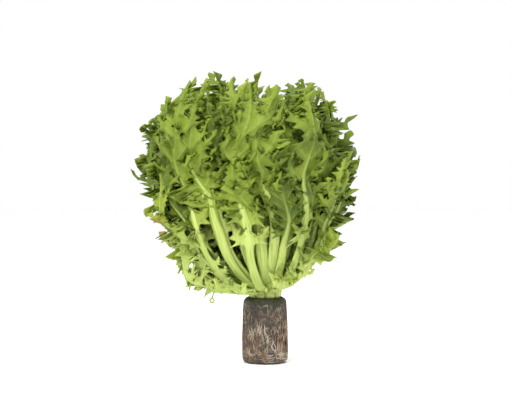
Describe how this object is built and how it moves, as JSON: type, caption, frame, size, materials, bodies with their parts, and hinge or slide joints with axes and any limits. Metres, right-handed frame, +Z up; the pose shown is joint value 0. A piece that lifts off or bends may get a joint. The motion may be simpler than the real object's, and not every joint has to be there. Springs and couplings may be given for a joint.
{
  "type": "curly endive head",
  "caption": "Growing head of curly endive: deeply cut, ruffled green leaves on pale ribs, gathered on a short crown in an upright root plug that it stands on.",
  "frame": {"origin": "centre of the root plug's flat foot, which the head stands on", "axes": "+Z up from the foot through the crown to the leaf tips, -Y towards the camera of the picture, +X to its right; the leaves lean about 7 degrees towards -X"},
  "size_m": [0.23, 0.186, 0.3083],
  "materials": {
    "leaf": "satin",
    "crown": "satin",
    "root_plug": "matte"
  },
  "bodies": {
    "root": {"root_plug": "root_plug", "crown": "crown", "leaf_low_1": "leaf", "leaf_low_2": "leaf", "leaf_low_3": "leaf", "leaf_low_4": "leaf", "leaf_low_5": "leaf", "leaf_low_6": "leaf", "leaf_low_7": "leaf", "leaf_outer_1": "leaf", "leaf_outer_2": "leaf", "leaf_outer_3": "leaf", "leaf_outer_4": "leaf", "leaf_outer_5": "leaf", "leaf_outer_6": "leaf", "leaf_outer_7": "leaf", "leaf_outer_8": "leaf", "leaf_outer_9": "leaf", "leaf_second_1": "leaf", "leaf_second_2": "leaf", "leaf_second_3": "leaf", "leaf_second_4": "leaf", "leaf_second_5": "leaf", "leaf_second_6": "leaf", "leaf_second_7": "leaf", "leaf_second_8": "leaf", "leaf_third_1": "leaf", "leaf_third_2": "leaf", "leaf_third_3": "leaf", "leaf_third_4": "leaf", "leaf_third_5": "leaf", "leaf_third_6": "leaf", "leaf_third_7": "leaf", "leaf_third_8": "leaf", "leaf_fourth_1": "leaf", "leaf_fourth_2": "leaf", "leaf_fourth_3": "leaf", "leaf_fourth_4": "leaf", "leaf_fourth_5": "leaf", "leaf_fourth_6": "leaf", "leaf_fourth_7": "leaf", "leaf_inner_1": "leaf", "leaf_inner_2": "leaf", "leaf_inner_3": "leaf", "leaf_inner_4": "leaf", "leaf_inner_5": "leaf", "leaf_heart_1": "leaf", "leaf_heart_2": "leaf", "leaf_heart_3": "leaf"}
  },
  "joints": []
}
